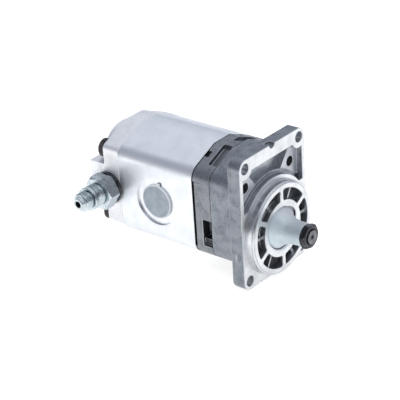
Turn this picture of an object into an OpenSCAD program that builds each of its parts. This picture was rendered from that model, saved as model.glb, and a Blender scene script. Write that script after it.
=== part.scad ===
// External gear pump with an outboard bearing housing, a rectangular
// four-bolt mounting flange and a steep drive cone.
//
// Frame: the origin is on the drive axis, in the flange's mounting face.
// -Y is out of the drive cone, +Y runs back through the pump, +Z is up
// towards the driven gear. The inlet port is on the -X side.

/* [Pump section] */
// Width of the pump body's section
section_w = 84; // [82:1:88]
// Height of the pump body's section
section_h = 101.4; // [100:0.2:104]
// Width of the flat at the top and bottom of the section
top_flat = 20.8; // [18:0.2:24]
// Slope of the two upper shoulders, in degrees
shoulder_angle = 23; // [21:1:25]
// Slope of the two lower shoulders, in degrees
low_shoulder_angle = 28; // [24:1:29]
// Slope of the rear cover's lower shoulders, in degrees
cover_low_angle = 31; // [28:1:31]
// Corner radius of the pump body
body_corner_r = 12.5; // [11:0.5:13]
// Corner radius of the rear cover
cover_corner_r = 5; // [4:0.5:7]

/* [Lengths along the drive axis] */
// Thickness of the mounting flange
flange_t = 12; // [11:0.5:13]
// Length of the bearing housing behind the flange
housing_l = 20.5; // [20.5:0.5:24]
// Length of the front cover
front_cover_l = 18.3; // [18.3:0.1:20]
// Length of the pump body
body_l = 78.7; // [76:0.1:90]
// Length of the rear cover
rear_cover_l = 16.5; // [16:0.5:18]
// Length of the valve block behind the rear cover
valve_block_l = 16; // [14:1:20]

/* [Mounting flange] */
// Width of the flange
flange_w = 87; // [86:0.5:90]
// Height of the flange
flange_h = 115.7; // [115:0.1:118]
// Corner radius of the flange
flange_corner_r = 8.5; // [6:0.5:9]
// Bolt spacing across the flange
bolt_pitch_x = 72; // [70:1:72]
// Bolt spacing up the flange
bolt_pitch_z = 100; // [98:1:100]
// Diameter of the flange's bolt holes
bolt_hole_d = 9; // [8.5:0.5:11]
// Diameter of the locating pilot
pilot_d = 80; // [79:0.5:81]
// How far the pilot stands out of the flange
pilot_l = 7.9; // [7.5:0.1:9]
// Number of windows in the pilot's face
window_count = 6; // [5:1:7]
// Width of the spokes between the windows
spoke_w = 4.2; // [3.5:0.1:6]

/* [Drive cone] */
// Diameter of the cone at its big end
cone_d = 35.2; // [33:0.1:35.2]
// Diameter of the cone at its neck
cone_neck_d = 19.8; // [18:0.1:20]
// Length of the cone
cone_l = 24.6; // [23:0.1:26]
// Width of the shaft nut across its flats
nut_af = 19; // [18:0.5:21]
// Height of the shaft nut
nut_l = 5.2; // [5:0.1:7]

/* [Gears] */
// Distance between the two gear axes
centre_distance = 31; // [31:0.1:31.4]
// Number of teeth on each gear
teeth = 12; // [11:1:13]
// Pressure angle of the teeth, in degrees
pressure_angle = 26; // [24:1:27]
// Width of the gears
gear_w = 43; // [38:1:46]
// Tip radius of the gears
tip_r = 17.9; // [17.6:0.1:18]
// Tooth thinning that gives the gears their backlash
backlash = 0.16; // [0.12:0.01:0.3]
// Journal diameter of both gears
journal_d = 17.9; // [17:0.1:18]

/* [Ports and fitting] */
// Diameter of the inlet port's spotface
inlet_face_d = 42; // [38:1:44]
// Bore diameter of the inlet port's thread
inlet_bore_d = 24.4; // [22:0.2:26]
// Diameter of the inlet port's transport cap
cap_d = 30; // [28:0.2:34]
// Bore diameter of the outlet port's thread
outlet_bore_d = 19; // [17:0.5:21]
// Width of the fitting's hexagon across its flats
fitting_af = 27; // [25:1:28]

/* [Hidden] */
$fn = 64;

// Stations along the drive axis
housing_y = flange_t + housing_l;
body_y0 = housing_y + front_cover_l;
body_y1 = body_y0 + body_l;
cover_y1 = body_y1 + rear_cover_l;
block_y1 = cover_y1 + valve_block_l;
gear_y0 = (body_y0 + body_y1 - gear_w) / 2;
gear_y1 = gear_y0 + gear_w;
port_y = (body_y0 + body_y1) / 2;
mid_z = centre_distance / 2;

// Fits and small clearances
film = 0.05;
end_gap = 0.05;
eps = 0.01;

// Through bolts, M10, in the centres of the body's corners
bolt_x = 30;
bolt_dz = 29.5;
bolt_r = 4.95;
bolt_hole_r = 5.3;
bolt_thread_r = 5;
bolt_drill_r = 4.25;
bolt_head_r = 8;
bolt_head_l = 10;
bolt_end_y = flange_t + 2;
bolt_boss_y = 5.5;
pad_foot_x = 5.9;
pad_top_x = 31.8;
pocket_floor_y = 11.8;

// Outboard bearings, two of 20 x 42 x 12
bearing_bore_r = 10;
bearing_outer_r = 21;
bearing_w = 12;
ball_r = 3.175;
ball_pitch_r = 15.5;
ball_count = 9;
race_r = 3.2;
lip_r = 18.1;
lip_dish_w = 2.8;
lip_dish_l = 1;
hub_r = 24.5;
bearing_y0 = -4;
spacer_w = 2;
bearing_y1 = bearing_y0 + bearing_w + spacer_w;
bearing_end = bearing_y1 + bearing_w;
hub_end_y = bearing_end + 2;

// Pilot face
window_r = 34.2;
window_corner_r = 1.8;
window_depth = 5.5;
window_turn = 30;
chamber_r = 36;
chamber_step_y = 10;
rear_chamber_r = 30;
boss_r = 43.7;
gear_boss_r = 26.4;
pilot_chamfer = 1.5;
crescent_r = 11.9;
crescent_x = 6.9;
crescent_z = 3.8;

// Shaft ends and coupling
tang_t = 7.7;
slot_t = 8;
tang_w = 24;
coupling_r = 15;
coupling_y0 = hub_end_y + 0.6;
coupling_y1 = housing_y + 4.5;
coupling_mid_y = (coupling_y0 + coupling_y1) / 2;
web_t = 1.6;
stud_r = 5.95;
stud_end = 0.9;
shoulder_r = 12.8;
shoulder_y0 = -5.5;
cone_y1 = -6;
neck_y = cone_y1 - cone_l;
nut_y0 = neck_y - 0.2 - nut_l;
nut_y1 = neck_y - 0.2;
stud_y0 = nut_y0 - 0.2 - stud_end;
cone_curve = 3.5;

// Shaft seal, 18 x 30 x 7
seal_r = 15;
seal_w = 7;
seal_y0 = housing_y + 7;
coupling_recess_r = 17;
coupling_recess_l = 5;

// Ports
cap_seat_x = -section_w / 2 + 1.8;
nipple_bore_r = 3;

// Gear teeth
pitch_r = centre_distance / 2;
base_r = pitch_r * cos(pressure_angle);
root_r = centre_distance - tip_r - 0.65;
bore_r = tip_r + film;
journal_r = journal_d / 2;
liner_t = 1;
flank_steps = 6;

// Relief valve, on one axis with the fitting
valve_y = cover_y1 - 4;
valve_z = mid_z;
fitting_thread_r = 10.1;
valve_bore_r = 7;
seat_x = 1;
seat_l = 5;
gallery_x = 15.5;
gallery_r = 2.5;
poppet_body_x = -1.5;
poppet_body_l = 6.5;
spring_x0 = -8;
spring_x1 = -20;
spring_wire_r = 0.7;
spring_coil_r = 4.2;
spring_turns = 5;
fitting_x = -section_w / 2;
adapter_stop_x = fitting_x + 16;

// ---- Helpers ----

// Shaft-like cylinder along Y
module rod_y(r, y0, y1, x = 0, z = 0) {
    translate([x, y1, z]) rotate([90, 0, 0]) cylinder(r = r, h = y1 - y0);
}

// Cone along Y, radius r0 at y0 and r1 at y1
module cone_y(r0, r1, y0, y1, x = 0, z = 0) {
    translate([x, y1, z]) rotate([90, 0, 0]) cylinder(r1 = r1, r2 = r0, h = y1 - y0);
}

// Cylinder along X
module rod_x(r, x0, x1, y, z) {
    translate([x0, y, z]) rotate([0, 90, 0]) cylinder(r = r, h = x1 - x0);
}

// Cone along X, radius r0 at x0 and r1 at x1
module cone_x(r0, r1, x0, x1, y, z) {
    translate([x0, y, z]) rotate([0, 90, 0]) cylinder(r1 = r0, r2 = r1, h = x1 - x0);
}

// Ring along Y
module ring_y(r_in, r_out, y0, y1, x = 0, z = 0) {
    difference() {
        rod_y(r_out, y0, y1, x, z);
        rod_y(r_in, y0 - 1, y1 + 1, x, z);
    }
}

// Slab with a drawn outline in X and Z, from y0 to y1
module slab(y0, y1) {
    translate([0, y1, 0]) rotate([90, 0, 0]) linear_extrude(height = y1 - y0) children();
}

// Hexagonal prism along Y with chamfered corners at both ends
module hex_y(af, y0, y1, turn = 0) {
    len = y1 - y0;
    wide_r = af / sqrt(3) + 1;
    chamfer = (wide_r - af / 2) * tan(30);
    intersection() {
        translate([0, y1, 0]) rotate([90, turn, 0]) cylinder(r = af / sqrt(3), h = len, $fn = 6);
        translate([0, y0, 0]) rotate([-90, 0, 0]) rotate_extrude() polygon([
            [0, 0], [af / 2, 0], [wide_r, chamfer],
            [wide_r, len - chamfer], [af / 2, len], [0, len]
        ]);
    }
}

// Hexagonal prism along X with chamfered corners at both ends
module hex_x(af, x0, x1, y, z, turn = 0) {
    translate([0, y, z]) rotate([0, 0, -90]) hex_y(af, x0, x1, turn);
}

// Upper half of the octagonal pump section, for one slope of its shoulders
module half_section(inset, corner_r, angle) {
    half_w = section_w / 2 - inset;
    half_h = section_h / 2 - inset;
    flat_x = top_flat / 2 - inset * (1 / cos(angle) - 1) / tan(angle);
    r = max(corner_r - inset, 1);
    cx = half_w - r;
    cz = half_h - (cx - flat_x) * tan(angle) - r / cos(angle);
    sx = cx + r * sin(angle);
    sz = cz + r * cos(angle);
    polygon([
        [half_w, -1], [half_w, cz], [sx, sz], [flat_x, half_h],
        [-flat_x, half_h], [-sx, sz], [-half_w, cz], [-half_w, -1]
    ]);
    for (a = [-1, 1]) translate([a * cx, cz]) circle(r = r);
}

// Pump section, inset by a distance and with its own corner radius and lower slope
module section_outline(inset = 0, corner_r = body_corner_r, low_angle = low_shoulder_angle) {
    translate([0, mid_z]) {
        half_section(inset, corner_r, shoulder_angle);
        mirror([0, 1]) half_section(inset, corner_r, low_angle);
    }
}

// Rectangle with round corners, centred
module rounded_rect(w, h, r) {
    square([w - 2 * r, h], center = true);
    square([w, h - 2 * r], center = true);
    for (a = [-1, 1], b = [-1, 1]) translate([a * (w / 2 - r), b * (h / 2 - r)]) circle(r = r);
}

// Outline of the two overlapping gear bores
module twin_bore(r) {
    circle(r = r);
    translate([0, centre_distance]) circle(r = r);
}

// Oval round both gear bores
module racetrack(r) {
    twin_bore(r);
    translate([-r, 0]) square([2 * r, centre_distance]);
}

// The four through bolts' places
module at_bolts() {
    for (a = [-1, 1], b = [-1, 1]) translate([a * bolt_x, 0, mid_z + b * bolt_dz]) children();
}

// Clearance holes for the through bolts
module bolt_holes(y0, y1) {
    at_bolts() rod_y(bolt_hole_r, y0, y1);
}

// Dowels between two castings, at a joint
module joint_dowels(y, x, z, r) {
    for (a = [-1, 1]) rod_y(r, y - 5, y + 5, a * x, z);
}

// All the dowels
module all_dowels(r) {
    joint_dowels(housing_y, 18, mid_z + 34.5, r);
    joint_dowels(body_y0, 29, mid_z, r);
    joint_dowels(body_y1, 18, mid_z + 35.5, r);
}

// Shape of a pressure seal: two open rings joined by a bar, like a 3
module three_shape(r_in, r_out) {
    difference() {
        twin_bore(r_out);
        twin_bore(r_in);
        translate([-r_out - 1, -r_out - 1]) square([r_out - 1, centre_distance + 2 * r_out + 2]);
    }
    translate([-1.2, r_in + 0.6]) square([2.4, centre_distance - 2 * r_in - 1.2]);
}

// Band of a casting's skin, between its outline and an inset of it
module skin_band(depth) {
    difference() {
        section_outline(-2);
        section_outline(depth);
    }
}

// ---- Bearing housing ----

// One window of the pilot's face, drawn upright and with round corners
module window_outline() {
    step = 180 / window_count;
    side = spoke_w / 2;
    rc = window_corner_r;
    module ring_part(r0, r1, clear) {
        intersection() {
            difference() {
                circle(r = r1);
                circle(r = r0);
            }
            polygon([
                [0, clear / sin(step)],
                [60 * sin(step) - clear * cos(step), 60 * cos(step) + clear * sin(step)],
                [-60 * sin(step) + clear * cos(step), 60 * cos(step) + clear * sin(step)]
            ]);
        }
    }
    ring_part(hub_r + rc, window_r - rc, side);
    ring_part(hub_r, window_r, side + rc);
    for (r = [hub_r + rc, window_r - rc], s = [-1, 1]) {
        across = side + rc;
        along = sqrt(r * r - across * across);
        translate([
            s * (along * sin(step) - across * cos(step)),
            along * cos(step) + across * sin(step)
        ]) circle(r = rc);
    }
}

// Outline of the pocket above the pilot, round the upper bolt bosses
module upper_pocket() {
    difference() {
        translate([-39.5, 27]) square([79, 34.5]);
        circle(r = boss_r);
        for (s = [-1, 1]) {
            translate([s * bolt_pitch_x / 2, mid_z + bolt_pitch_z / 2]) circle(r = 9.5);
        }
    }
}

// Raised pads at the pocket's two ends, round the upper through bolts, with sloping inner edges
module pocket_pads() {
    for (s = [-1, 1]) {
        polygon([[s * pad_foot_x, 30], [s * pad_top_x, 62.5], [s * 45, 62.5], [s * 45, 30]]);
    }
}

// Six ribs across the chamber, from the hub to the wall; two reach further forward
module chamber_ribs() {
    for (i = [0 : 5]) {
        main = i % 3 == 1;
        y0 = -pilot_l + (main ? 3.7 : window_depth - 1);
        t = main ? 1.8 : 3;
        rotate([0, -60 * i, 0]) translate([hub_r, y0, -t / 2]) {
            cube([chamber_r - hub_r + 1, hub_end_y - y0, t]);
        }
    }
}

module bearing_housing() {
    color("#8f959e") difference() {
        union() {
            // Flange, boss round the pilot, and the body behind it
            slab(0, flange_t) translate([0, mid_z]) rounded_rect(flange_w, flange_h, flange_corner_r);
            slab(flange_t - 1, housing_y) section_outline();
            rod_y(pilot_d / 2, -pilot_l + pilot_chamfer, 1);
            cone_y(pilot_d / 2 - pilot_chamfer, pilot_d / 2, -pilot_l, -pilot_l + pilot_chamfer);
        }
        // Pocket above the pilot, with its pads and a ledge round the boss
        difference() {
            slab(-1, pocket_floor_y) upper_pocket();
            slab(bolt_boss_y, pocket_floor_y + 1) pocket_pads();
            rod_y(boss_r + 3.2, bolt_boss_y - 0.5, pocket_floor_y + 1);
        }
        // Bearing chamber round the hub, wide behind the windows and open to the rear
        difference() {
            union() {
                rod_y(chamber_r, -pilot_l + window_depth, chamber_step_y);
                rod_y(rear_chamber_r, -pilot_l + window_depth, housing_y + 1);
            }
            rod_y(hub_r + 0.5, -pilot_l, hub_end_y);
            chamber_ribs();
        }
        // Windows in the pilot's face, with the ribs left in them
        difference() {
            for (i = [0 : window_count - 1]) rotate([0, window_turn + i * 360 / window_count, 0]) {
                slab(-pilot_l - 1, -pilot_l + window_depth + eps) window_outline();
            }
            chamber_ribs();
        }
        // Hub bore, with a dished lip in front of the bearings and a ring groove behind
        rod_y(lip_r, -pilot_l - 1, bearing_y0 + 1);
        cone_y(lip_r + lip_dish_w, lip_r, -pilot_l - eps, -pilot_l + lip_dish_l);
        // Crescent relief in the lip, on the upper +X side
        rod_y(crescent_r, -pilot_l - 1, bearing_y0 - 0.8, crescent_x, crescent_z);
        rod_y(bearing_outer_r, bearing_y0, hub_end_y + 1);
        rod_y(bearing_outer_r + 1.1, bearing_end, bearing_end + 1.3);
        // Flange bolts
        for (a = [-1, 1], b = [-1, 1]) {
            rod_y(bolt_hole_d / 2, -1, flange_t + 1, a * bolt_pitch_x / 2, mid_z + b * bolt_pitch_z / 2);
        }
        // Threads for the through bolts; the upper pair opens into the pocket
        at_bolts() rod_y(bolt_thread_r, flange_t, housing_y + 1);
        at_bolts() rod_y(bolt_drill_r, bolt_boss_y - 0.5, flange_t + 1);
        // Notches in the flange's edges, and a slot-shaped mark in its side
        rod_y(3.5, -1, flange_t / 2, 0, mid_z + flange_h / 2);
        rod_y(1.5, -1, flange_t / 2, -23, mid_z - flange_h / 2);
        translate([-flange_w / 2 - 1, 6.4, -16]) cube([1.8, 1.6, 6.4]);
        all_dowels(4);
    }
}

// ---- Covers and body ----

module front_cover() {
    color("#9ba1a9") difference() {
        slab(housing_y, body_y0) section_outline();
        // Casting pockets in the skin, open towards the bearing housing
        slab(housing_y - 1, housing_y + 9) intersection() {
            skin_band(4);
            for (a = [-1, 1], b = [-1, 1]) {
                translate([a * 16.6 - 2.65, mid_z + b * 45]) square([23.4, 40], center = true);
            }
        }
        for (s = [-1, 1]) translate([s * 40 - 7, housing_y - 1, -5]) cube([14, 10, 17.4]);
        slab(housing_y - 1, housing_y + 9) intersection() {
            skin_band(2.4);
            for (s = [-1, 1]) translate([s * 40, -8]) square([20, 6], center = true);
        }
        // Groove all round beside the pump body, wider at the sides
        slab(body_y0 - 1, body_y0 + 1) skin_band(1.4);
        slab(body_y0 - 2.3, body_y0 + 1) intersection() {
            skin_band(4);
            translate([-50, mid_z - 29]) square([100, 58]);
        }
        // Short recesses in the shoulders, beside the pump body
        slab(body_y0 - 4.8, body_y0 + 1) intersection() {
            skin_band(3);
            for (s = [-1, 1]) translate([s * 21.3, mid_z]) square([6.5, 120], center = true);
        }
        // Coupling recess, seal housing and shaft bore
        rod_y(coupling_recess_r, housing_y - 1, housing_y + coupling_recess_l);
        rod_y(seal_r, housing_y, seal_y0 + seal_w);
        rod_y(seal_r + 1, seal_y0 - 1.3, seal_y0);
        rod_y(journal_r + 0.5, housing_y, body_y0 + 1);
        // Grooves for the body seal and the pressure seal
        slab(body_y0 - 2.2, body_y0 + 1) difference() {
            racetrack(22.5);
            racetrack(20);
        }
        slab(body_y0 - 2, body_y0 + 1) three_shape(11.8, 14.4);
        bolt_holes(housing_y - 1, body_y0 + 1);
        all_dowels(4);
    }
}

module pump_body() {
    color("#cdd2da") difference() {
        slab(body_y0, body_y1) section_outline();
        slab(body_y0 - 1, body_y1 + 1) twin_bore(bore_r);
        // Inlet port, on the -X side
        rod_x(inlet_face_d / 2, -section_w / 2 - 1, cap_seat_x, port_y, mid_z);
        rod_x(inlet_bore_d / 2, -section_w / 2 - 1, -section_w / 2 + 18, port_y, mid_z);
        rod_x(9.5, -section_w / 2, -8, port_y, mid_z);
        // Outlet port, on the +X side
        rod_x(17, section_w / 2 - 1, section_w / 2 + 1, port_y, mid_z);
        rod_x(outlet_bore_d / 2, section_w / 2 - 16, section_w / 2 + 1, port_y, mid_z);
        rod_x(7.5, 8, section_w / 2, port_y, mid_z);
        // Pressure gallery from the outlet to the relief valve
        rod_y(gallery_r, port_y, body_y1 + 1, gallery_x, mid_z);
        bolt_holes(body_y0 - 1, body_y1 + 1);
        all_dowels(4);
    }
}

module rear_cover() {
    block_h = 41.6;
    block_w = 64;
    boss_end = block_y1 - 0.5;
    color("#dfe1e6") difference() {
        union() {
            slab(body_y1, cover_y1) section_outline(0, cover_corner_r, cover_low_angle);
            translate([-section_w / 2, cover_y1 - 1, mid_z - block_h / 2]) {
                cube([block_w, valve_block_l + 1, block_h]);
            }
            // Round boss behind the driven gear's journal, running into the block
            rod_y(gear_boss_r, cover_y1 - 1, boss_end - 1.2, 0, centre_distance);
            cone_y(gear_boss_r, gear_boss_r - 1.2, boss_end - 1.2, boss_end, 0, centre_distance);
        }
        // Valve cavity and its drillings
        rod_x(fitting_thread_r + 0.05, fitting_x - 1, adapter_stop_x, valve_y, valve_z);
        rod_x(valve_bore_r, fitting_x, seat_x + seat_l, valve_y, valve_z);
        rod_x(4, seat_x, section_w / 2, valve_y, valve_z);
        rod_x(6.5, section_w / 2 - 10, section_w / 2 + 1, valve_y, valve_z);
        rod_y(gallery_r, body_y1 - 1, valve_y, gallery_x, mid_z);
        // Grooves for the body seal and the pressure seal
        slab(body_y1 - 1, body_y1 + 2.2) difference() {
            racetrack(22.5);
            racetrack(20);
        }
        slab(body_y1 - 1, body_y1 + 2) three_shape(11.8, 14.4);
        bolt_holes(body_y1 - 1, cover_y1 + 1);
        at_bolts() rod_y(bolt_head_r + 0.6, cover_y1, block_y1 + 1);
        // Small drilling in the block's top
        translate([-section_w / 2 + 1.8, cover_y1 + 4.2, mid_z + block_h / 2 - 4]) cylinder(r = 0.9, h = 5);
        all_dowels(4);
    }
}

// ---- Gears ----

// Involute angle at a radius, in degrees
function involute(r) = let (a = acos(base_r / r)) tan(a) * 180 / PI - a;

// Half the angle of a tooth at a radius
function half_tooth(r) =
    90 / teeth - backlash / 2 / pitch_r * 180 / PI + involute(pitch_r) - involute(max(r, base_r));

// One flank from the root to the tip, on one side of the tooth
function flank(side) = [
    for (i = [0 : flank_steps])
        let (r = base_r + (tip_r - base_r) * i / flank_steps)
        [r * sin(side * half_tooth(r)), r * cos(half_tooth(r))]
];

module gear_outline() {
    foot_r = root_r - 1;
    foot_a = half_tooth(base_r);
    circle(r = root_r);
    for (i = [0 : teeth - 1]) rotate(i * 360 / teeth) {
        polygon(concat(
            [[-foot_r * sin(foot_a), foot_r * cos(foot_a)]],
            flank(-1),
            [for (i = [flank_steps : -1 : 0]) flank(1)[i]],
            [[foot_r * sin(foot_a), foot_r * cos(foot_a)]]
        ));
    }
}

// Gear with its two journals
module gear_with_journals(front_y, rear_y) {
    slab(gear_y0, gear_y1) gear_outline();
    rod_y(journal_r, front_y, gear_y0 + 1);
    rod_y(journal_r, gear_y1 - 1, rear_y);
}

module drive_gear() {
    color("#8d9096") difference() {
        union() {
            gear_with_journals(coupling_y1 + 0.4, body_y1 - 1.2);
            // Tang that enters the coupling
            intersection() {
                rod_y(journal_r, coupling_mid_y + web_t, coupling_y1 + 1);
                translate([-tang_t / 2, coupling_y0, -tang_w / 2]) cube([tang_t, coupling_y1, tang_w]);
            }
        }
        // Centre drilling in the rear end
        cone_y(0.8, 2.4, body_y1 - 5, body_y1 - 1.2 + eps);
    }
}

module driven_gear() {
    color("#8d9096") translate([0, 0, centre_distance]) difference() {
        rotate([0, 180 / teeth, 0]) gear_with_journals(body_y0 + 1.2, body_y1 - 1.2);
        cone_y(0.8, 2.4, body_y1 - 5, body_y1 - 1.2 + eps);
        cone_y(2.4, 0.8, body_y0 + 1.2 - eps, body_y0 + 5);
    }
}

// Bushing block, a pair of bearing carriers in one piece
module bushing_block(y0, y1) {
    color("#b9bcc0") difference() {
        slab(y0, y1) twin_bore(bore_r - 0.03);
        for (z = [0, centre_distance]) rod_y(journal_r + film + liner_t, y0 - 1, y1 + 1, 0, z);
        // Trapped-oil pockets at the gear face
        for (y = [gear_y0, gear_y1]) translate([0, y, mid_z]) cube([9, 3, 5], center = true);
    }
}

module front_bushing_block() { bushing_block(body_y0 + end_gap, gear_y0 - end_gap); }

module rear_bushing_block() { bushing_block(gear_y1 + end_gap, body_y1 - end_gap); }

module journal_liners() {
    r = journal_r + film;
    color("#a8793f") for (z = [0, centre_distance]) {
        ring_y(r, r + liner_t, body_y0 + 0.6, gear_y0 - 0.6, 0, z);
        ring_y(r, r + liner_t, gear_y1 + 0.6, body_y1 - 0.6, 0, z);
    }
}

// ---- Seals ----

module body_seal(y0, y1) {
    color("#1d1d1f") slab(y0, y1) difference() {
        racetrack(22.4);
        racetrack(20.1);
    }
}

module front_body_seal() { body_seal(body_y0 - 2.2, body_y0); }

module rear_body_seal() { body_seal(body_y1, body_y1 + 2.2); }

module front_pressure_seal() {
    color("#2c2a28") slab(body_y0 - 2, body_y0) three_shape(11.9, 14.3);
}

module rear_pressure_seal() {
    color("#2c2a28") slab(body_y1, body_y1 + 2) three_shape(11.9, 14.3);
}

module shaft_seal() {
    color("#6b2a1e") difference() {
        rod_y(seal_r, seal_y0, seal_y0 + seal_w);
        rod_y(journal_r + 0.05, seal_y0 - 1, seal_y0 + seal_w + 1);
        // Hollow behind the lip, with a groove that holds the garter spring
        ring_y(journal_r + 1.6, seal_r - 1.4, seal_y0 + 1.6, seal_y0 + seal_w + 1);
        ring_y(journal_r + 1.2, journal_r + 2.6, seal_y0 + 3.3, seal_y0 + 4.7);
    }
}

module seal_garter_spring() {
    color("#b8babd") translate([0, seal_y0 + 4, 0]) rotate([90, 0, 0]) rotate_extrude() {
        translate([journal_r + 1.9, 0]) circle(r = 0.6, $fn = 24);
    }
}

// Snap ring along Y with a gap in it
module snap_ring(r_in, r_out, y0, y1, gap) {
    color("#4b4d52") difference() {
        ring_y(r_in, r_out, y0, y1);
        translate([-gap / 2, y0 - 1, -r_out - 1]) cube([gap, y1 - y0 + 2, r_out]);
    }
}

module seal_retaining_ring() { snap_ring(12.4, seal_r + 0.9, seal_y0 - 1.25, seal_y0 - 0.05, 10); }

// ---- Drive end ----

module input_shaft() {
    steps = 16;
    profile = [
        for (i = [0 : steps])
            let (t = i / steps)
            [cone_neck_d / 2 + (cone_d - cone_neck_d) / 2 * pow(t, cone_curve), cone_l * t]
    ];
    color("#bcc5cf") difference() {
        union() {
            // Hollow-flanked drive cone, turned about the axis
            translate([0, neck_y, 0]) rotate([-90, 0, 0]) rotate_extrude() {
                polygon(concat(
                    [[0, 0]],
                    profile,
                    [[cone_d / 2, cone_l + 1.2], [0, cone_l + 1.2]]
                ));
            }
            // Stud for the nut
            rod_y(stud_r, stud_y0, neck_y + 1);
            // Shoulder and journal for the bearings
            rod_y(shoulder_r, shoulder_y0, bearing_y0);
            rod_y(bearing_bore_r, shoulder_y0, bearing_end);
            rod_y(bearing_bore_r - 0.6, bearing_end - 1, bearing_end + 1.3);
            rod_y(bearing_bore_r, bearing_end + 1.25, hub_end_y);
            // Tang that enters the coupling
            intersection() {
                rod_y(bearing_bore_r + 1, hub_end_y - 0.5, coupling_mid_y - web_t);
                translate([-tang_w / 2, 0, -tang_t / 2]) cube([tang_w, coupling_mid_y - web_t, tang_t]);
            }
        }
        // Centre drilling in the stud
        cone_y(2, 0.5, stud_y0 - eps, stud_y0 + 3.5);
    }
}

module shaft_nut() {
    color("#2f3236") difference() {
        hex_y(nut_af, nut_y0, nut_y1, turn = 12);
        rod_y(stud_r + 0.03, nut_y0 - 1, nut_y1 + 1);
        cone_y(stud_r + 1.2, stud_r, nut_y0 - eps, nut_y0 + 1.2);
    }
}

// The two bearings' places
module at_bearings() {
    for (y = [bearing_y0, bearing_y1]) translate([0, y + bearing_w / 2, 0]) children();
}

// Race groove of a bearing, about the bearing's middle
module race_groove() {
    rotate([90, 0, 0]) rotate_extrude() translate([ball_pitch_r, 0]) circle(r = race_r);
}

module bearing_outer_rings() {
    color("#a9adb3") at_bearings() difference() {
        ring_y(17.8, bearing_outer_r, -bearing_w / 2, bearing_w / 2);
        race_groove();
    }
}

module bearing_inner_rings() {
    color("#a9adb3") at_bearings() difference() {
        ring_y(bearing_bore_r, 13.3, -bearing_w / 2, bearing_w / 2);
        race_groove();
    }
}

module bearing_balls() {
    color("#d5d8dc") at_bearings() for (i = [0 : ball_count - 1]) {
        rotate([0, i * 360 / ball_count, 0]) translate([0, 0, ball_pitch_r]) sphere(r = ball_r, $fn = 48);
    }
}

module bearing_cages() {
    color("#b08d4a") at_bearings() difference() {
        ring_y(14.6, 16.4, -4, 4);
        for (i = [0 : ball_count - 1]) {
            rotate([0, i * 360 / ball_count, 0]) translate([0, 0, ball_pitch_r]) {
                sphere(r = ball_r + 0.08, $fn = 48);
            }
        }
    }
}

module outer_spacer() {
    color("#8b8f95") ring_y(18.2, bearing_outer_r, bearing_y0 + bearing_w, bearing_y1);
}

module inner_spacer() {
    color("#8b8f95") ring_y(bearing_bore_r, shoulder_r, bearing_y0 + bearing_w, bearing_y1);
}

module housing_retaining_ring() {
    snap_ring(18, bearing_outer_r + 1, bearing_end, bearing_end + 1.25, 14);
}

module shaft_retaining_ring() {
    snap_ring(bearing_bore_r - 0.55, 12.2, bearing_end, bearing_end + 1.15, 6);
}

module coupling_sleeve() {
    color("#75797f") difference() {
        rod_y(coupling_r, coupling_y0, coupling_y1);
        // Crossed slots for the two tangs
        translate([-20, coupling_y0 - 1, -slot_t / 2]) {
            cube([40, coupling_mid_y - web_t / 2 - coupling_y0 + 1, slot_t]);
        }
        translate([-slot_t / 2, coupling_mid_y + web_t / 2, -20]) cube([slot_t, 20, 40]);
    }
}

// ---- Fasteners and cap ----

module through_bolts() {
    color("#3a3b40") at_bolts() difference() {
        union() {
            rod_y(bolt_r, bolt_end_y, cover_y1 + 1);
            rod_y(bolt_head_r, cover_y1, cover_y1 + bolt_head_l - 0.8);
            cone_y(bolt_head_r, bolt_head_r - 0.8, cover_y1 + bolt_head_l - 0.8, cover_y1 + bolt_head_l);
        }
        translate([0, cover_y1 + bolt_head_l + 1, 0]) rotate([90, 0, 0]) {
            cylinder(r = 8 / sqrt(3), h = 6, $fn = 6);
        }
    }
}

module dowel_pins() {
    color("#9a9da2") all_dowels(3.98);
}

module inlet_cap() {
    cap_t = 1.85;
    plug_l = 11;
    color("#9aa0a8") difference() {
        union() {
            rod_x(cap_d / 2, cap_seat_x - cap_t, cap_seat_x - end_gap, port_y, mid_z);
            rod_x(inlet_bore_d / 2 - 0.1, cap_seat_x - 1, cap_seat_x + plug_l, port_y, mid_z);
            // Finger tab at the top
            translate([cap_seat_x - cap_t, port_y - 5, mid_z + cap_d / 2 - 1]) cube([1.2, 5, 3.2]);
        }
        rod_x(inlet_bore_d / 2 - 1.8, cap_seat_x, cap_seat_x + plug_l + 1, port_y, mid_z);
    }
}

// ---- Relief valve and fitting ----

module relief_seat() {
    color("#9b9ea3") difference() {
        rod_x(valve_bore_r, seat_x, seat_x + seat_l, valve_y, valve_z);
        rod_x(3.5, seat_x - 1, seat_x + seat_l + 1, valve_y, valve_z);
    }
}

module relief_poppet() {
    body_end = poppet_body_x - poppet_body_l;
    color("#7f8288") {
        cone_x(5.9, 1.2, poppet_body_x, poppet_body_x + 4.7, valve_y, valve_z);
        difference() {
            rod_x(valve_bore_r - film, body_end, poppet_body_x, valve_y, valve_z);
            // Four flats let the oil past
            for (a = [0 : 90 : 270]) translate([body_end - 1, valve_y, valve_z]) rotate([a, 0, 0]) {
                translate([0, -10, 5.4]) cube([poppet_body_l + 2, 20, 5]);
            }
        }
        rod_x(2.6, body_end - 6, body_end + 1, valve_y, valve_z);
    }
}

// Points of one ring of the spring's wire, at a turn
function wire_ring(turn, sides) = let (
    pitch = (spring_x0 - spring_x1 - 2 * spring_wire_r - 0.1) / spring_turns,
    x = spring_x0 - spring_wire_r - 0.05 - pitch * turn
) [
    for (i = [0 : sides - 1])
        let (r = spring_coil_r + spring_wire_r * cos(i * 360 / sides))
        [
            x + spring_wire_r * sin(i * 360 / sides),
            valve_y + r * cos(turn * 360),
            valve_z + r * sin(turn * 360)
        ]
];

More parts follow.
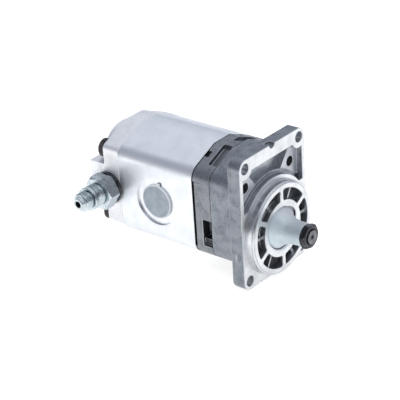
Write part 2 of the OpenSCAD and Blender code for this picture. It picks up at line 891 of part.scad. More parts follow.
module relief_spring() {
    sides = 8;
    rings = 16 * spring_turns;
    points = [for (k = [0 : rings]) each wire_ring(k / 16, sides)];
    walls = [
        for (k = [0 : rings - 1], i = [0 : sides - 1])
            let (j = (i + 1) % sides)
            [k * sides + i, k * sides + j, (k + 1) * sides + j, (k + 1) * sides + i]
    ];
    start_cap = [[for (i = [sides - 1 : -1 : 0]) i]];
    end_cap = [[for (i = [0 : sides - 1]) rings * sides + i]];
    color("#6e7178") polyhedron(points = points, faces = concat(walls, start_cap, end_cap));
}

module relief_adjuster() {
    color("#83868c") difference() {
        rod_x(valve_bore_r, adapter_stop_x, spring_x1, valve_y, valve_z);
        translate([adapter_stop_x - 1, valve_y, valve_z]) rotate([0, 90, 0]) {
            cylinder(r = 5 / sqrt(3), h = 12, $fn = 6);
        }
    }
}

module passage_plug() {
    outer_x = section_w / 2;
    color("#5c5f65") difference() {
        rod_x(6.5, outer_x - 10, outer_x - 0.3, valve_y, valve_z);
        translate([outer_x - 5, valve_y, valve_z]) rotate([0, 90, 0]) {
            cylinder(r = 6 / sqrt(3), h = 6, $fn = 6);
        }
    }
}

module adapter_seal() {
    color("#26282b") difference() {
        rod_x(14.4, fitting_x - 3, fitting_x, valve_y, valve_z);
        rod_x(fitting_thread_r + 0.05, fitting_x - 4, fitting_x + 1, valve_y, valve_z);
    }
}

module return_adapter() {
    hex_x0 = fitting_x - 15.5;
    neck_x0 = hex_x0 - 8;
    color("#b3c0cb") difference() {
        union() {
            rod_x(fitting_thread_r, fitting_x - 4, adapter_stop_x - 0.5, valve_y, valve_z);
            hex_x(fitting_af, hex_x0, fitting_x - 3, valve_y, valve_z);
            rod_x(9.8, neck_x0, hex_x0 + 1, valve_y, valve_z);
        }
        rod_x(5, neck_x0 - 1, adapter_stop_x, valve_y, valve_z);
    }
}

module return_nipple() {
    neck_x0 = fitting_x - 23.5;
    collar_x0 = neck_x0 - 4.5;
    thread_x0 = collar_x0 - 8;
    color("#c3ced8") difference() {
        union() {
            rod_x(5, neck_x0 - 1, neck_x0 + 12, valve_y, valve_z);
            rod_x(7.2, neck_x0 - 1, neck_x0, valve_y, valve_z);
            rod_x(10.3, collar_x0, neck_x0 - 1, valve_y, valve_z);
            rod_x(8.2, thread_x0, collar_x0 + 1, valve_y, valve_z);
            cone_x(4.8, 6.2, thread_x0 - 3.2, thread_x0, valve_y, valve_z);
        }
        rod_x(nipple_bore_r, thread_x0 - 4, neck_x0 + 13, valve_y, valve_z);
    }
}

bearing_housing();
front_cover();
pump_body();
rear_cover();
drive_gear();
driven_gear();
front_bushing_block();
rear_bushing_block();
journal_liners();
front_body_seal();
rear_body_seal();
front_pressure_seal();
rear_pressure_seal();
shaft_seal();
seal_garter_spring();
seal_retaining_ring();
input_shaft();
shaft_nut();
bearing_outer_rings();
bearing_inner_rings();
bearing_balls();
bearing_cages();
outer_spacer();
inner_spacer();
housing_retaining_ring();
shaft_retaining_ring();
coupling_sleeve();
through_bolts();
dowel_pins();
inlet_cap();
relief_seat();
relief_poppet();
relief_spring();
relief_adjuster();
passage_plug();
adapter_seal();
return_adapter();
return_nipple();
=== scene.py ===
"""Looks of the external gear pump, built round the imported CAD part.

The visible castings, covers and fittings are rebuilt as finer meshes: cast and machined edges are rounded,
threads, knurls and chamfers are real geometry, and each surface has a procedural material.
The inner parts keep their CAD shapes and get materials of their own.
All lengths are in metres, in the row frame: the drive axis is Y, and the mounting face is at y = 0.
"""

import math

import bmesh
import bpy
from mathutils import Matrix, Vector


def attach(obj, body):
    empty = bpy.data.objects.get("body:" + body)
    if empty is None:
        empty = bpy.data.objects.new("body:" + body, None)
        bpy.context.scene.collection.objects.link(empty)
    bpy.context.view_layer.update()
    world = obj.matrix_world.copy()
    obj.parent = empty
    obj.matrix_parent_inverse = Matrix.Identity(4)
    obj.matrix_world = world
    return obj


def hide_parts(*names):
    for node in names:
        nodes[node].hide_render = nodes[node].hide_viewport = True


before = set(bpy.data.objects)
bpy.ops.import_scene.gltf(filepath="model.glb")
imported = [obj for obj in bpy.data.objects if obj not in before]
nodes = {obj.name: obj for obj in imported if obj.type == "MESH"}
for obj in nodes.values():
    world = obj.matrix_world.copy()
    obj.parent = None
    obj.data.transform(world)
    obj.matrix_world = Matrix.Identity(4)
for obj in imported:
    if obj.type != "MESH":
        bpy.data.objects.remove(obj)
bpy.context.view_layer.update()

MM = 0.001

# ---------------------------------------------------------------- sizes, as in the CAD part

# Flange, pilot and hub
FLANGE_BACK_Y = 12 * MM
FLANGE_LOW_Z = -42.35 * MM
HOLE_X = 36 * MM
HOLE_Z = 50 * MM
PILOT_R = 40 * MM
PILOT_FACE_Y = -7.9 * MM
WINDOW_IN_R = 22 * MM
WINDOW_OUT_R = 36.5 * MM
HUB_BORE_R = 21.5 * MM
HUB_BORE_END_Y = 22 * MM

# Pocket above the pilot
POCKET_HALF_W = 39.7 * MM
POCKET_Z = (10 * MM, 61.7 * MM)
POCKET_Y = (0.2 * MM, 27 * MM)

# Outline of the castings and the body, seen along the drive axis
SECTION_MID_Z = 15.5 * MM
SECTION_HALF_W = 42 * MM
SECTION_HALF_H = 50.7 * MM
SECTION_FLAT_X = 10.4 * MM
SECTION_CORNER_R = 12.5 * MM
SHOULDER_Z = 45 * MM
UPPER_SLOPE = math.radians(23)
LOWER_SLOPE = math.radians(28)

# Ends of the housing, the covers and the body, along the drive axis
HOUSING_END_Y = 32.5 * MM
POCKETS_END_Y = 47.5 * MM
BODY_FRONT_ZONE_Y = 60 * MM
COVER_END_Y = 146 * MM
COVER_LOW_Z = -35.2 * MM

# Suction port, on the side at negative x
PORT_Y = 90.15 * MM
PORT_Z = 15.5 * MM
PORT_SPOT_R = 21.5 * MM
CAP_FACE_X = -42.05 * MM

# Drive end
CONE_NECK_Y = -30.6 * MM
NUT_AF = 19 * MM
NUT_TURN = math.radians(-12)
STUD_R = 5.95 * MM

# Return fitting
VALVE_Y = 142 * MM
VALVE_Z = 15.5 * MM
COVER_SIDE_X = -42 * MM
FITTING_AF = 27 * MM

# Long bolts
BOLT_X = 30 * MM
BOLT_Z = (-14 * MM, 45 * MM)
BOLT_R = 4.95 * MM
BOLT_TIP_Y = 14 * MM
BOLT_THREAD_END_Y = 36 * MM
BOLT_HEAD_R = 8 * MM
BOLT_HEAD_L = 10 * MM
BOLT_SOCKET_AF = 8 * MM

# ---------------------------------------------------------------- camera

CAMERA_AZIMUTH = math.radians(-49.573)
CAMERA_ELEVATION = math.radians(26.546)
CAMERA_ROLL = math.radians(-3.686)
CAMERA_DISTANCE = 1.258656
CAMERA_RIGHT = -0.061294
CAMERA_UP = 0.021002
CAMERA_LENS = 139.15


def make_camera():
    """The camera at the viewing angle of the reference view, with no shift and no depth of field."""
    back = Vector((
        math.sin(CAMERA_AZIMUTH) * math.cos(CAMERA_ELEVATION),
        -math.cos(CAMERA_AZIMUTH) * math.cos(CAMERA_ELEVATION),
        math.sin(CAMERA_ELEVATION),
    ))
    level_right = Vector((math.cos(CAMERA_AZIMUTH), math.sin(CAMERA_AZIMUTH), 0))
    level_up = back.cross(level_right)
    c, s = math.cos(CAMERA_ROLL), math.sin(CAMERA_ROLL)
    right = c * level_right + s * level_up
    up = c * level_up - s * level_right
    turn = Matrix((right, up, back)).transposed().to_4x4()
    place = CAMERA_DISTANCE * back + CAMERA_RIGHT * right + CAMERA_UP * up
    data = bpy.data.cameras.new("camera")
    data.lens = CAMERA_LENS
    data.sensor_width = 36
    camera = bpy.data.objects.new("camera", data)
    camera.matrix_world = Matrix.Translation(place) @ turn
    bpy.context.scene.collection.objects.link(camera)
    bpy.context.scene.camera = camera


make_camera()

# ---------------------------------------------------------------- materials

# The wave texture's lines are this far apart at scale 1
WAVE_PERIOD = math.pi / 10

# Every material, by name
MAT = {}


class Nodes:
    """Nodes added to a tree by method calls, all from one texture coordinate."""

    def __init__(self, tree, coordinate):
        self.tree = tree
        self.place = tree.nodes.new("ShaderNodeTexCoord").outputs[coordinate]

    def node(self, kind, links=(), **settings):
        """A new node. A setting is a property of the node, or else the value of its input of that name."""
        made = self.tree.nodes.new("ShaderNode" + kind)
        for key, value in settings.items():
            if hasattr(made, key):
                setattr(made, key, value)
            else:
                made.inputs[key].default_value = value
        for socket, source in dict(links).items():
            self.tree.links.new(source, made.inputs[socket])
        return made

    def vector(self, operation, other):
        """The coordinate combined with a fixed vector. Distances and dot products come out as Value."""
        made = self.node("VectorMath", {0: self.place}, operation=operation)
        made.inputs[1].default_value = other
        return made.outputs["Value" if operation in ("DISTANCE", "DOT_PRODUCT") else "Vector"]

    def spread(self, source, low, high, out_low=0.0, out_high=1.0):
        """Carries the range low to high over to out_low to out_high, with soft ends."""
        made = self.node("MapRange", {"Value": source}, interpolation_type="SMOOTHSTEP")
        made.inputs["From Min"].default_value = low
        made.inputs["From Max"].default_value = high
        made.inputs["To Min"].default_value = out_low
        made.inputs["To Max"].default_value = out_high
        return made.outputs[0]

    def mix(self, amount, a, b):
        """Colour a where amount is 0 and b where it is 1. Each is a colour or a socket."""
        made = self.node("Mix", {"Factor": amount}, data_type="RGBA")
        # Inputs 6 and 7 are the node's two colour sockets
        for index, value in ((6, a), (7, b)):
            if isinstance(value, tuple):
                made.inputs[index].default_value = (*value, 1)
            else:
                self.tree.links.new(value, made.inputs[index])
        return made.outputs[2]


class Shader(Nodes):
    """A material with patterns in object coordinates, in metres."""

    def __init__(self, name, **sockets):
        self.material = bpy.data.materials.new(name)
        MAT[name] = self.material
        self.material.use_nodes = True
        super().__init__(self.material.node_tree, "Object")
        self.surface = self.tree.nodes["Principled BSDF"]
        self.height = None
        for socket, value in sockets.items():
            title = socket.replace("_", " ").title().replace("Ior", "IOR")
            self.surface.inputs[title].default_value = value

    def noise(self, size, detail=4.0, stretch=(1, 1, 1), rough=0.55, distortion=0.0):
        """Noise of features about `size` metres across, longer or shorter along each axis by `stretch`."""
        stretched = self.node("Mapping", {"Vector": self.place}, Scale=stretch)
        made = self.node(
            "TexNoise", {"Vector": stretched.outputs[0]},
            Scale=1 / size, Detail=detail, Roughness=rough, Distortion=distortion,
        )
        return made.outputs["Fac"]

    def rings(self, spacing, axis, centre):
        """Fine lines round an axis, `spacing` metres apart in radius."""
        wave = self.node(
            "TexWave", {"Vector": self.vector("SUBTRACT", centre)}, wave_type="RINGS", rings_direction=axis,
            Scale=WAVE_PERIOD / spacing, Distortion=0.6, Detail=2.0,
        )
        return wave.outputs["Fac"]

    def bands(self, spacing, axis):
        """Fine lines across an axis, `spacing` metres apart along it."""
        wave = self.node(
            "TexWave", {"Vector": self.place}, wave_type="BANDS", bands_direction=axis,
            Scale=WAVE_PERIOD / spacing, Distortion=0.8, Detail=2.0,
        )
        return wave.outputs["Fac"]

    def along(self, axis):
        """The place along one axis, in metres."""
        return self.node("SeparateXYZ", {0: self.place}).outputs[axis]

    def colour(self, source):
        self.tree.links.new(source, self.surface.inputs["Base Color"])

    def roughness(self, source):
        self.tree.links.new(source, self.surface.inputs["Roughness"])

    def bump(self, source, depth):
        """Adds relief of `depth` metres, on top of what is there."""
        links = {"Height": source}
        if self.height is not None:
            links["Normal"] = self.height
        self.height = self.node("Bump", links, Distance=depth, Strength=1.0).outputs[0]
        self.tree.links.new(self.height, self.surface.inputs["Normal"])


# Colour of the line at the casting's joint: dirt and painted contact shade
SEAM_DIRT_AND_SHADE = (0.03, 0.031, 0.035)
SEAM_HALF_W = 0.32 * MM


def cast_metal(name, dark, light, stain, rough=(0.36, 0.6), grain=40e-6, seam=None):
    """Die-cast aluminium: cloudy tone, small dark pits and a fine orange-peel skin.

    Where the casting meets its neighbour, at y = seam, a thin dark line runs round it: dirt with painted
    contact shade in the joint.
    """
    m = Shader(name, metallic=1.0)
    clouds = m.spread(m.noise(9 * MM, 6.0, rough=0.62, distortion=0.4), 0.3, 0.7)
    fine = m.spread(m.noise(1.6 * MM, 5.0, rough=0.7), 0.34, 0.66)
    base = m.mix(fine, m.mix(clouds, dark, light), m.mix(clouds, light, stain))
    pits = m.spread(m.noise(0.9 * MM, 2.0), 0.62, 0.74)
    skin = m.mix(pits, base, tuple(0.55 * c for c in dark))
    if seam is not None:
        at_seam = m.node("Math", {0: m.along("Y")}, operation="COMPARE")
        at_seam.inputs[1].default_value = seam
        at_seam.inputs[2].default_value = SEAM_HALF_W
        # Painted contact shade and dirt along the joint
        skin = m.mix(at_seam.outputs[0], skin, SEAM_DIRT_AND_SHADE)
    m.colour(skin)
    m.roughness(m.spread(clouds, 0.0, 1.0, rough[1], rough[0]))
    m.bump(m.noise(2.2 * MM, 3.0), grain)
    m.bump(m.noise(0.5 * MM, 3.0), grain * 0.35)


def machined_metal(name, dark, light, lines, rough=(0.24, 0.36), depth=3e-6):
    """Machined aluminium: faint tone patches and cutter marks. `lines` picks the marks' direction."""
    m = Shader(name, metallic=1.0)
    marks = lines(m)
    patches = m.spread(m.noise(14 * MM, 4.0, rough=0.6), 0.3, 0.7)
    scuffs = m.spread(m.noise(1.2 * MM, 4.0, stretch=(1, 0.15, 1)), 0.62, 0.8)
    toned = m.mix(patches, dark, light)
    m.colour(m.mix(scuffs, toned, tuple(0.9 * c for c in dark)))
    m.roughness(m.spread(patches, 0.0, 1.0, rough[1], rough[0]))
    m.bump(marks, depth)
    m.bump(m.noise(0.4 * MM, 3.0), depth * 1.5)


def steel(name, dark, light, rough, marks=None, depth=2e-6, patch=6 * MM):
    """Steel with patchy tone, fine scratches and optional tool marks."""
    m = Shader(name, metallic=1.0)
    patches = m.spread(m.noise(patch, 5.0, rough=0.6), 0.32, 0.68)
    m.colour(m.mix(patches, dark, light))
    scratches = m.noise(0.5 * MM, 3.0, stretch=(1, 0.2, 1))
    m.roughness(m.spread(scratches, 0.3, 0.7, rough[0], rough[1]))
    if marks:
        m.bump(marks(m), depth)
    m.bump(m.noise(0.35 * MM, 3.0), depth)


def cone_ground():
    """Satin ground steel for the drive cone, with a painted reflection tint: cooler towards -x and warmer
    towards +x.
    """
    m = Shader("cone_ground", metallic=1.0)
    # Painted reflection: a cool tint on the -x side and a warm tint on the +x side
    reflection_side = m.spread(m.along("X"), -14 * MM, 14 * MM)
    sheen = m.spread(m.noise(9 * MM, 4.0, rough=0.6), 0.3, 0.7)
    cool_reflection = m.mix(sheen, (0.62, 0.70, 0.735), (0.70, 0.775, 0.81))
    warm_reflection = m.mix(sheen, (0.66, 0.665, 0.70), (0.73, 0.73, 0.765))
    m.colour(m.mix(reflection_side, cool_reflection, warm_reflection))
    m.roughness(m.spread(m.noise(0.6 * MM, 3.0, stretch=(1, 4, 1)), 0.3, 0.7, 0.58, 0.68))
    m.bump(m.bands(0.18 * MM, "Y"), 2e-6)
    m.bump(m.noise(0.35 * MM, 3.0), 1.5e-6)


def rubber(name, dark, light, roughness):
    """Moulded rubber: slightly uneven in tone, with a fine dull grain."""
    m = Shader(name)
    m.colour(m.mix(m.spread(m.noise(2 * MM, 4.0), 0.3, 0.7), dark, light))
    m.roughness(m.spread(m.noise(0.6 * MM, 3.0), 0.3, 0.7, roughness - 0.08, roughness + 0.08))
    m.bump(m.noise(0.3 * MM, 3.0), 8e-6)


def cap_plastic():
    """Translucent polyethylene, its thin middle painted dark for the shade of the bore behind it, and its
    rim paler.
    """
    m = Shader("cap_plastic", subsurface_weight=0.25, subsurface_scale=0.004, ior=1.5)
    m.surface.inputs["Subsurface Radius"].default_value = (1.0, 1.0, 1.0)
    from_middle = m.vector("DISTANCE", (CAP_FACE_X, PORT_Y, PORT_Z))
    rim = m.spread(from_middle, 13.6 * MM, 14.3 * MM)
    milky = m.spread(m.noise(7 * MM, 4.0, rough=0.6), 0.3, 0.7)
    # Painted shade: the middle is darkened for the bore seen through the thin plastic
    middle = m.mix(milky, (0.27, 0.315, 0.36), (0.35, 0.395, 0.445))
    m.colour(m.mix(rim, middle, (0.58, 0.61, 0.64)))
    m.roughness(m.spread(m.noise(1.0 * MM, 3.0), 0.3, 0.7, 0.3, 0.42))
    m.bump(m.noise(1.4 * MM, 3.0), 12e-6)


def face_marks(spacing, axis="Y", centre=(0, 0, 0)):
    """Circular marks, as a face cutter leaves them."""
    return lambda m: m.rings(spacing, axis, centre)


def turning_marks(spacing):
    """Marks round a turned surface."""
    return lambda m: m.bands(spacing, "Y")


def extrusion_lines(m):
    """Long fine streaks along the extrusion."""
    return m.noise(0.35 * MM, 4.0, stretch=(1, 0.012, 1))


# Aluminium parts: castings, the extrusion and the faces cut on them
cast_metal(
    "housing_skin", (0.16, 0.178, 0.20), (0.31, 0.335, 0.37), (0.22, 0.23, 0.25),
    seam=HOUSING_END_Y,
)
cast_metal(
    "housing_edge", (0.36, 0.38, 0.415), (0.54, 0.56, 0.59), (0.44, 0.455, 0.48),
    rough=(0.34, 0.48), grain=20e-6, seam=HOUSING_END_Y,
)
machined_metal(
    "housing_face", (0.60, 0.615, 0.635), (0.72, 0.735, 0.75),
    face_marks(0.35 * MM), rough=(0.32, 0.44),
)
machined_metal(
    "pilot_turned", (0.56, 0.57, 0.59), (0.68, 0.69, 0.71),
    turning_marks(0.25 * MM), rough=(0.24, 0.34),
)
# Near-black copy of the cast skin: painted shade in recesses, the groove and the gap at the body's front
# end
cast_metal(
    "recess_painted_shade", (0.045, 0.047, 0.052), (0.11, 0.115, 0.125), (0.07, 0.073, 0.08),
    rough=(0.5, 0.65),
)
# Lighter copy of the cast skin: painted light in the windows and hole walls
cast_metal(
    "hollow_painted_light", (0.40, 0.415, 0.435), (0.66, 0.68, 0.70), (0.52, 0.53, 0.55),
    rough=(0.3, 0.45),
)
# Dark copy of the cast skin: painted shade in the front cover's shoulder pockets
cast_metal(
    "pocket_painted_shade", (0.11, 0.118, 0.13), (0.24, 0.255, 0.28), (0.17, 0.18, 0.195),
    rough=(0.45, 0.6),
)
cast_metal("cover_skin", (0.17, 0.182, 0.20), (0.30, 0.315, 0.34), (0.22, 0.225, 0.24))
machined_metal(
    "body_extruded", (0.77, 0.795, 0.83), (0.83, 0.85, 0.88),
    extrusion_lines, rough=(0.40, 0.48), depth=4e-6,
)
machined_metal(
    "body_cut", (0.62, 0.64, 0.67), (0.74, 0.76, 0.78),
    face_marks(0.3 * MM), rough=(0.28, 0.4),
)
machined_metal(
    "port_face", (0.74, 0.76, 0.79), (0.83, 0.845, 0.87),
    face_marks(0.3 * MM, "X", (0, PORT_Y, PORT_Z)), rough=(0.28, 0.38),
)
cast_metal(
    "rear_skin", (0.80, 0.81, 0.835), (0.90, 0.90, 0.92), (0.85, 0.855, 0.875),
    rough=(0.52, 0.64), grain=14e-6,
)

# Steel parts and the parts inside
cone_ground()
steel(
    "steel_bright", (0.58, 0.59, 0.61), (0.70, 0.71, 0.73), (0.16, 0.28),
    turning_marks(0.3 * MM), 1e-6,
)
steel("steel_dull", (0.26, 0.265, 0.28), (0.38, 0.385, 0.40), (0.34, 0.5))
steel("steel_black", (0.028, 0.029, 0.033), (0.085, 0.085, 0.092), (0.26, 0.4), patch=3 * MM)
steel("bolt_black", (0.06, 0.052, 0.056), (0.13, 0.115, 0.12), (0.3, 0.45), patch=3 * MM)
steel("stud_steel", (0.10, 0.10, 0.11), (0.20, 0.205, 0.22), (0.3, 0.42), patch=3 * MM)
steel("washer_steel", (0.055, 0.058, 0.062), (0.12, 0.125, 0.13), (0.25, 0.38), patch=3 * MM)
steel("zinc_plate", (0.44, 0.50, 0.53), (0.62, 0.68, 0.70), (0.18, 0.32), patch=4 * MM)
machined_metal("bushing_alu", (0.60, 0.61, 0.63), (0.70, 0.71, 0.73), face_marks(0.3 * MM))
steel("bronze", (0.50, 0.30, 0.13), (0.60, 0.38, 0.18), (0.26, 0.4), turning_marks(0.3 * MM))
steel("brass", (0.62, 0.44, 0.18), (0.72, 0.54, 0.25), (0.26, 0.4))
rubber("rubber_black", (0.012, 0.012, 0.013), (0.03, 0.03, 0.031), 0.55)
rubber("rubber_brown", (0.10, 0.028, 0.016), (0.16, 0.05, 0.028), 0.45)
cap_plastic()

# ---------------------------------------------------------------- mesh helpers

SHARP_ANGLE = math.radians(32)
CHAMFER_ANGLE = math.radians(30)
FINE_STEP = 0.12 * MM


def finish_piece(piece, body, replaced=()):
    """Gives a new piece its body and hides the CAD nodes that it stands for."""
    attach(piece, body)
    if replaced:
        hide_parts(*replaced)
    return piece


def object_from(bm, name, materials):
    """Makes a new object of the bmesh, with the named materials in its slots."""
    mesh = bpy.data.meshes.new(name)
    bm.to_mesh(mesh)
    bm.free()
    piece = bpy.data.objects.new(name, mesh)
    bpy.context.scene.collection.objects.link(piece)
    for material in materials:
        mesh.materials.append(MAT[material])
    return piece


def merged_copy(node, whole_faces):
    """The CAD node's surface as one welded mesh, with its flat faces whole or left in triangles."""
    bm = bmesh.new()
    bm.from_mesh(nodes[node].data)
    bmesh.ops.remove_doubles(bm, verts=bm.verts, dist=2e-6)
    if whole_faces:
        bmesh.ops.dissolve_limit(
            bm, angle_limit=math.radians(0.4), use_dissolve_boundaries=False, verts=bm.verts, edges=bm.edges
        )
    return bm


def refined(name, node, width, materials, pick=None, edge_slot=-1, whole_faces=True):
    """A copy of a CAD node with its sharp edges rounded to `width`.

    pick(centre, normal) gives a face's material index, and edge_slot is the rounded edges' own,
    where -1 lets them take their neighbour's.
    """
    bm = merged_copy(node, whole_faces)
    bm.normal_update()
    for face in bm.faces:
        face.smooth = True
        if pick:
            face.material_index = pick(face.calc_center_median(), face.normal)
    piece = object_from(bm, name, materials)
    bevel = piece.modifiers.new("rounding", "BEVEL")
    bevel.limit_method = "ANGLE"
    bevel.angle_limit = SHARP_ANGLE
    bevel.width = width
    bevel.segments = 2
    bevel.use_clamp_overlap = False
    bevel.loop_slide = True
    bevel.material = edge_slot
    normals = piece.modifiers.new("normals", "WEIGHTED_NORMAL")
    normals.keep_sharp = False
    return piece


def with_steps(profile, start, end, step):
    """The closed profile with extra points on its lines inside start to end, no further apart than step."""
    points = []
    for (a0, r0), (a1, r1) in zip(profile, profile[1:] + profile[:1]):
        inside = min(a0, a1) >= start - 1e-9 and max(a0, a1) <= end + 1e-9
        count = max(1, math.ceil(abs(a1 - a0) / step)) if inside else 1
        points += [(a0 + (a1 - a0) * i / count, r0 + (r1 - r0) * i / count) for i in range(count)]
    return points


def turned(bm, profile, place, columns, shape=None):
    """Turns a closed profile of (along, radius) points. shape(along, angle, radius) may change a radius."""
    rings = []
    for along, radius in profile:
        ring = []
        for i in range(columns):
            angle = 2 * math.pi * i / columns
            r = shape(along, angle, radius) if shape else radius
            ring.append(bm.verts.new(place(along, r * math.cos(angle), r * math.sin(angle))))
        rings.append(ring)
    for a, b in zip(rings, rings[1:] + rings[:1]):
        for i in range(columns):
            j = (i + 1) % columns
            face = bm.faces.new((a[i], a[j], b[j], b[i]))
            face.smooth = True


def solid_from(bm, name, material, sharp):
    """Ends a bmesh of closed turned forms: outward normals, and sharp edges above `sharp` degrees."""
    bmesh.ops.recalc_face_normals(bm, faces=bm.faces)
    piece = object_from(bm, name, [material])
    piece.data.set_sharp_from_angle(angle=math.radians(sharp))
    return piece


def along_y(x, z):
    """Places a turned form on an axis along y."""
    return lambda along, u, v: Vector((x + u, along, z + v))


def along_x(y, z):
    """Places a turned form on an axis along x."""
    return lambda along, u, v: Vector((along, y + u, z + v))


def tooth(phase):
    """Thread form: 0 at the crest and 1 at the root, over one turn of phase."""
    p = phase % 1.0
    return min(1.0, max(0.0, abs(p - 0.5) * 2.6 - 0.25))


def thread_shape(start, end, pitch, depth, least_radius):
    """A helical thread cut into what is at least least_radius, fading out at both ends."""
    def shape(along, angle, radius):
        if radius < least_radius or not start <= along <= end:
            return radius
        fade = min(1.0, (along - start) / pitch, (end - along) / pitch)
        return radius - depth * fade * tooth(along / pitch - angle / (2 * math.pi))
    return shape


def hex_radius(across_flats, angle, turn):
    """Distance from the centre to a hexagon's side, in one direction."""
    part = (angle - turn) % (math.pi / 3) - math.pi / 6
    return across_flats / 2 / math.cos(part)


# ---------------------------------------------------------------- castings and body


def skin_depth(x, z):
    """How far a point lies inside the castings' outline, in metres."""
    across, up = abs(x), abs(z - SECTION_MID_Z)
    slope = UPPER_SLOPE if z > SECTION_MID_Z else LOWER_SLOPE
    corner_x = SECTION_HALF_W - SECTION_CORNER_R
    corner_z = (
        SECTION_HALF_H - (corner_x - SECTION_FLAT_X) * math.tan(slope) - SECTION_CORNER_R / math.cos(slope)
    )
    if across > corner_x and up > corner_z:
        turn = math.atan2(up - corner_z, across - corner_x)
        if turn < math.pi / 2 - slope:
            return SECTION_CORNER_R - math.hypot(across - corner_x, up - corner_z)
    shoulder = (SECTION_HALF_H - up) * math.cos(slope) - (across - SECTION_FLAT_X) * math.sin(slope)
    return min(SECTION_HALF_W - across, SECTION_HALF_H - up, shoulder)


def in_pocket(centre):
    """Whether a point is in the pocket above the pilot, and not on the skin behind the flange."""
    if math.hypot(centre.x, centre.z) < PILOT_R + 0.2 * MM or abs(centre.x) > POCKET_HALF_W:
        return False
    if centre.y > FLANGE_BACK_Y - 0.1 * MM and skin_depth(centre.x, centre.z) < 0.8 * MM:
        return False
    return POCKET_Z[0] < centre.z < POCKET_Z[1] and POCKET_Y[0] < centre.y < POCKET_Y[1]


def housing_finish(centre, normal):
    """0 cast skin, 1 edges and pocket, 2 machined faces, 3 turned pilot and hub, 4 hollows and holes with
    painted light.
    """
    radius = math.hypot(centre.x, centre.z)
    from_hole = math.hypot(abs(centre.x) - HOLE_X, abs(centre.z - SECTION_MID_Z) - HOLE_Z)
    is_side = abs(normal.y) < 0.9
    if WINDOW_IN_R < radius < WINDOW_OUT_R and centre.y > PILOT_FACE_Y + 0.4 * MM:
        return 4
    if from_hole < 5.5 * MM and is_side:
        return 4
    if in_pocket(centre):
        return 1
    if normal.y < -0.9 and (abs(centre.y) < 0.1 * MM or centre.y < PILOT_FACE_Y + 1.2 * MM):
        return 2
    if centre.y < -0.1 * MM and radius > PILOT_R - 2 * MM and abs(normal.y) < 0.8:
        return 3
    if radius < HUB_BORE_R and centre.y < HUB_BORE_END_Y and is_side:
        return 3
    if normal.y > 0.99 and centre.y > HOUSING_END_Y - 0.5 * MM:
        return 2
    return 0


housing = refined(
    "housing_casting", "bearing_housing", 0.45 * MM,
    ["housing_skin", "housing_edge", "housing_face", "pilot_turned", "hollow_painted_light"],
    housing_finish, edge_slot=1,
)
finish_piece(housing, "housing", ["bearing_housing"])


def front_finish(centre, normal):
    """0 cast skin, 2 painted shade in the side pockets and the groove, 3 painted shade in the pockets in
    the shoulders.
    """
    if skin_depth(centre.x, centre.z) < 0.6 * MM:
        return 0
    in_shoulder = centre.z > SHOULDER_Z and centre.y < POCKETS_END_Y
    return 3 if in_shoulder else 2


front = refined(
    "front_cover_casting", "front_cover", 0.4 * MM,
    ["cover_skin", "housing_edge", "recess_painted_shade", "pocket_painted_shade"],
    front_finish, edge_slot=1, whole_faces=False,
)
finish_piece(front, "housing", ["front_cover"])


def body_finish(centre, normal):
    """0 extruded skin, 1 cut rear end, 2 port faces, 3 the front end, painted dark for the shade in the gap
    where the groove shows it.
    """
    if abs(normal.y) > 0.9:
        return 3 if centre.y < BODY_FRONT_ZONE_Y else 1
    at_port = math.hypot(centre.y - PORT_Y, centre.z - PORT_Z) < PORT_SPOT_R
    sunk_in_side = 8 * MM < abs(centre.x) < SECTION_HALF_W - 0.1 * MM
    return 2 if at_port and sunk_in_side else 0


body = refined(
    "body_extrusion", "pump_body", 0.2 * MM,
    ["body_extruded", "body_cut", "port_face", "recess_painted_shade"], body_finish,
)
finish_piece(body, "housing", ["pump_body"])

rear = refined("rear_cover_casting", "rear_cover", 0.4 * MM, ["rear_skin"])
finish_piece(rear, "housing", ["rear_cover"])

# ---------------------------------------------------------------- drive end


def nut_piece():
    """Hexagon nut on the cone's stud, with chamfered corners and a countersunk bore."""
    front_y = CONE_NECK_Y - 5.4 * MM
    back_y = CONE_NECK_Y - 0.2 * MM
    flat = NUT_AF / 2
    corner = NUT_AF / math.sqrt(3)
    chamfer = (corner - flat + 0.3 * MM) * math.tan(CHAMFER_ANGLE)
    bore = STUD_R + 0.05 * MM
    profile = [
        (front_y + 1.0 * MM, bore),
        (front_y + 0.1 * MM, bore + 0.9 * MM),
        (front_y, bore + 1.1 * MM),
        (front_y, flat - 0.3 * MM),
        (front_y + chamfer, corner),
        (back_y - chamfer, corner),
        (back_y, flat - 0.3 * MM),
        (back_y, bore),
    ]
    points = with_steps(profile, front_y, back_y, FINE_STEP)

    def shape(along, angle, radius):
        if radius < flat - 0.4 * MM:
            return radius
        return min(radius, hex_radius(NUT_AF, angle, NUT_TURN))

    bm = bmesh.new()
    turned(bm, points, along_y(0, 0), 144, shape)
    return solid_from(bm, "cone_nut", "steel_black", 20)


finish_piece(nut_piece(), "drive_train", ["shaft_nut"])


def shaft_finish(centre, normal):
    """0 ground cone and journals, 1 the stud."""
    return 1 if centre.y < CONE_NECK_Y - 0.1 * MM else 0


shaft = refined("drive_cone_shaft", "input_shaft", 0.3 * MM, ["cone_ground", "stud_steel"], shaft_finish)
finish_piece(shaft, "drive_train", ["input_shaft"])

# ---------------------------------------------------------------- fitting


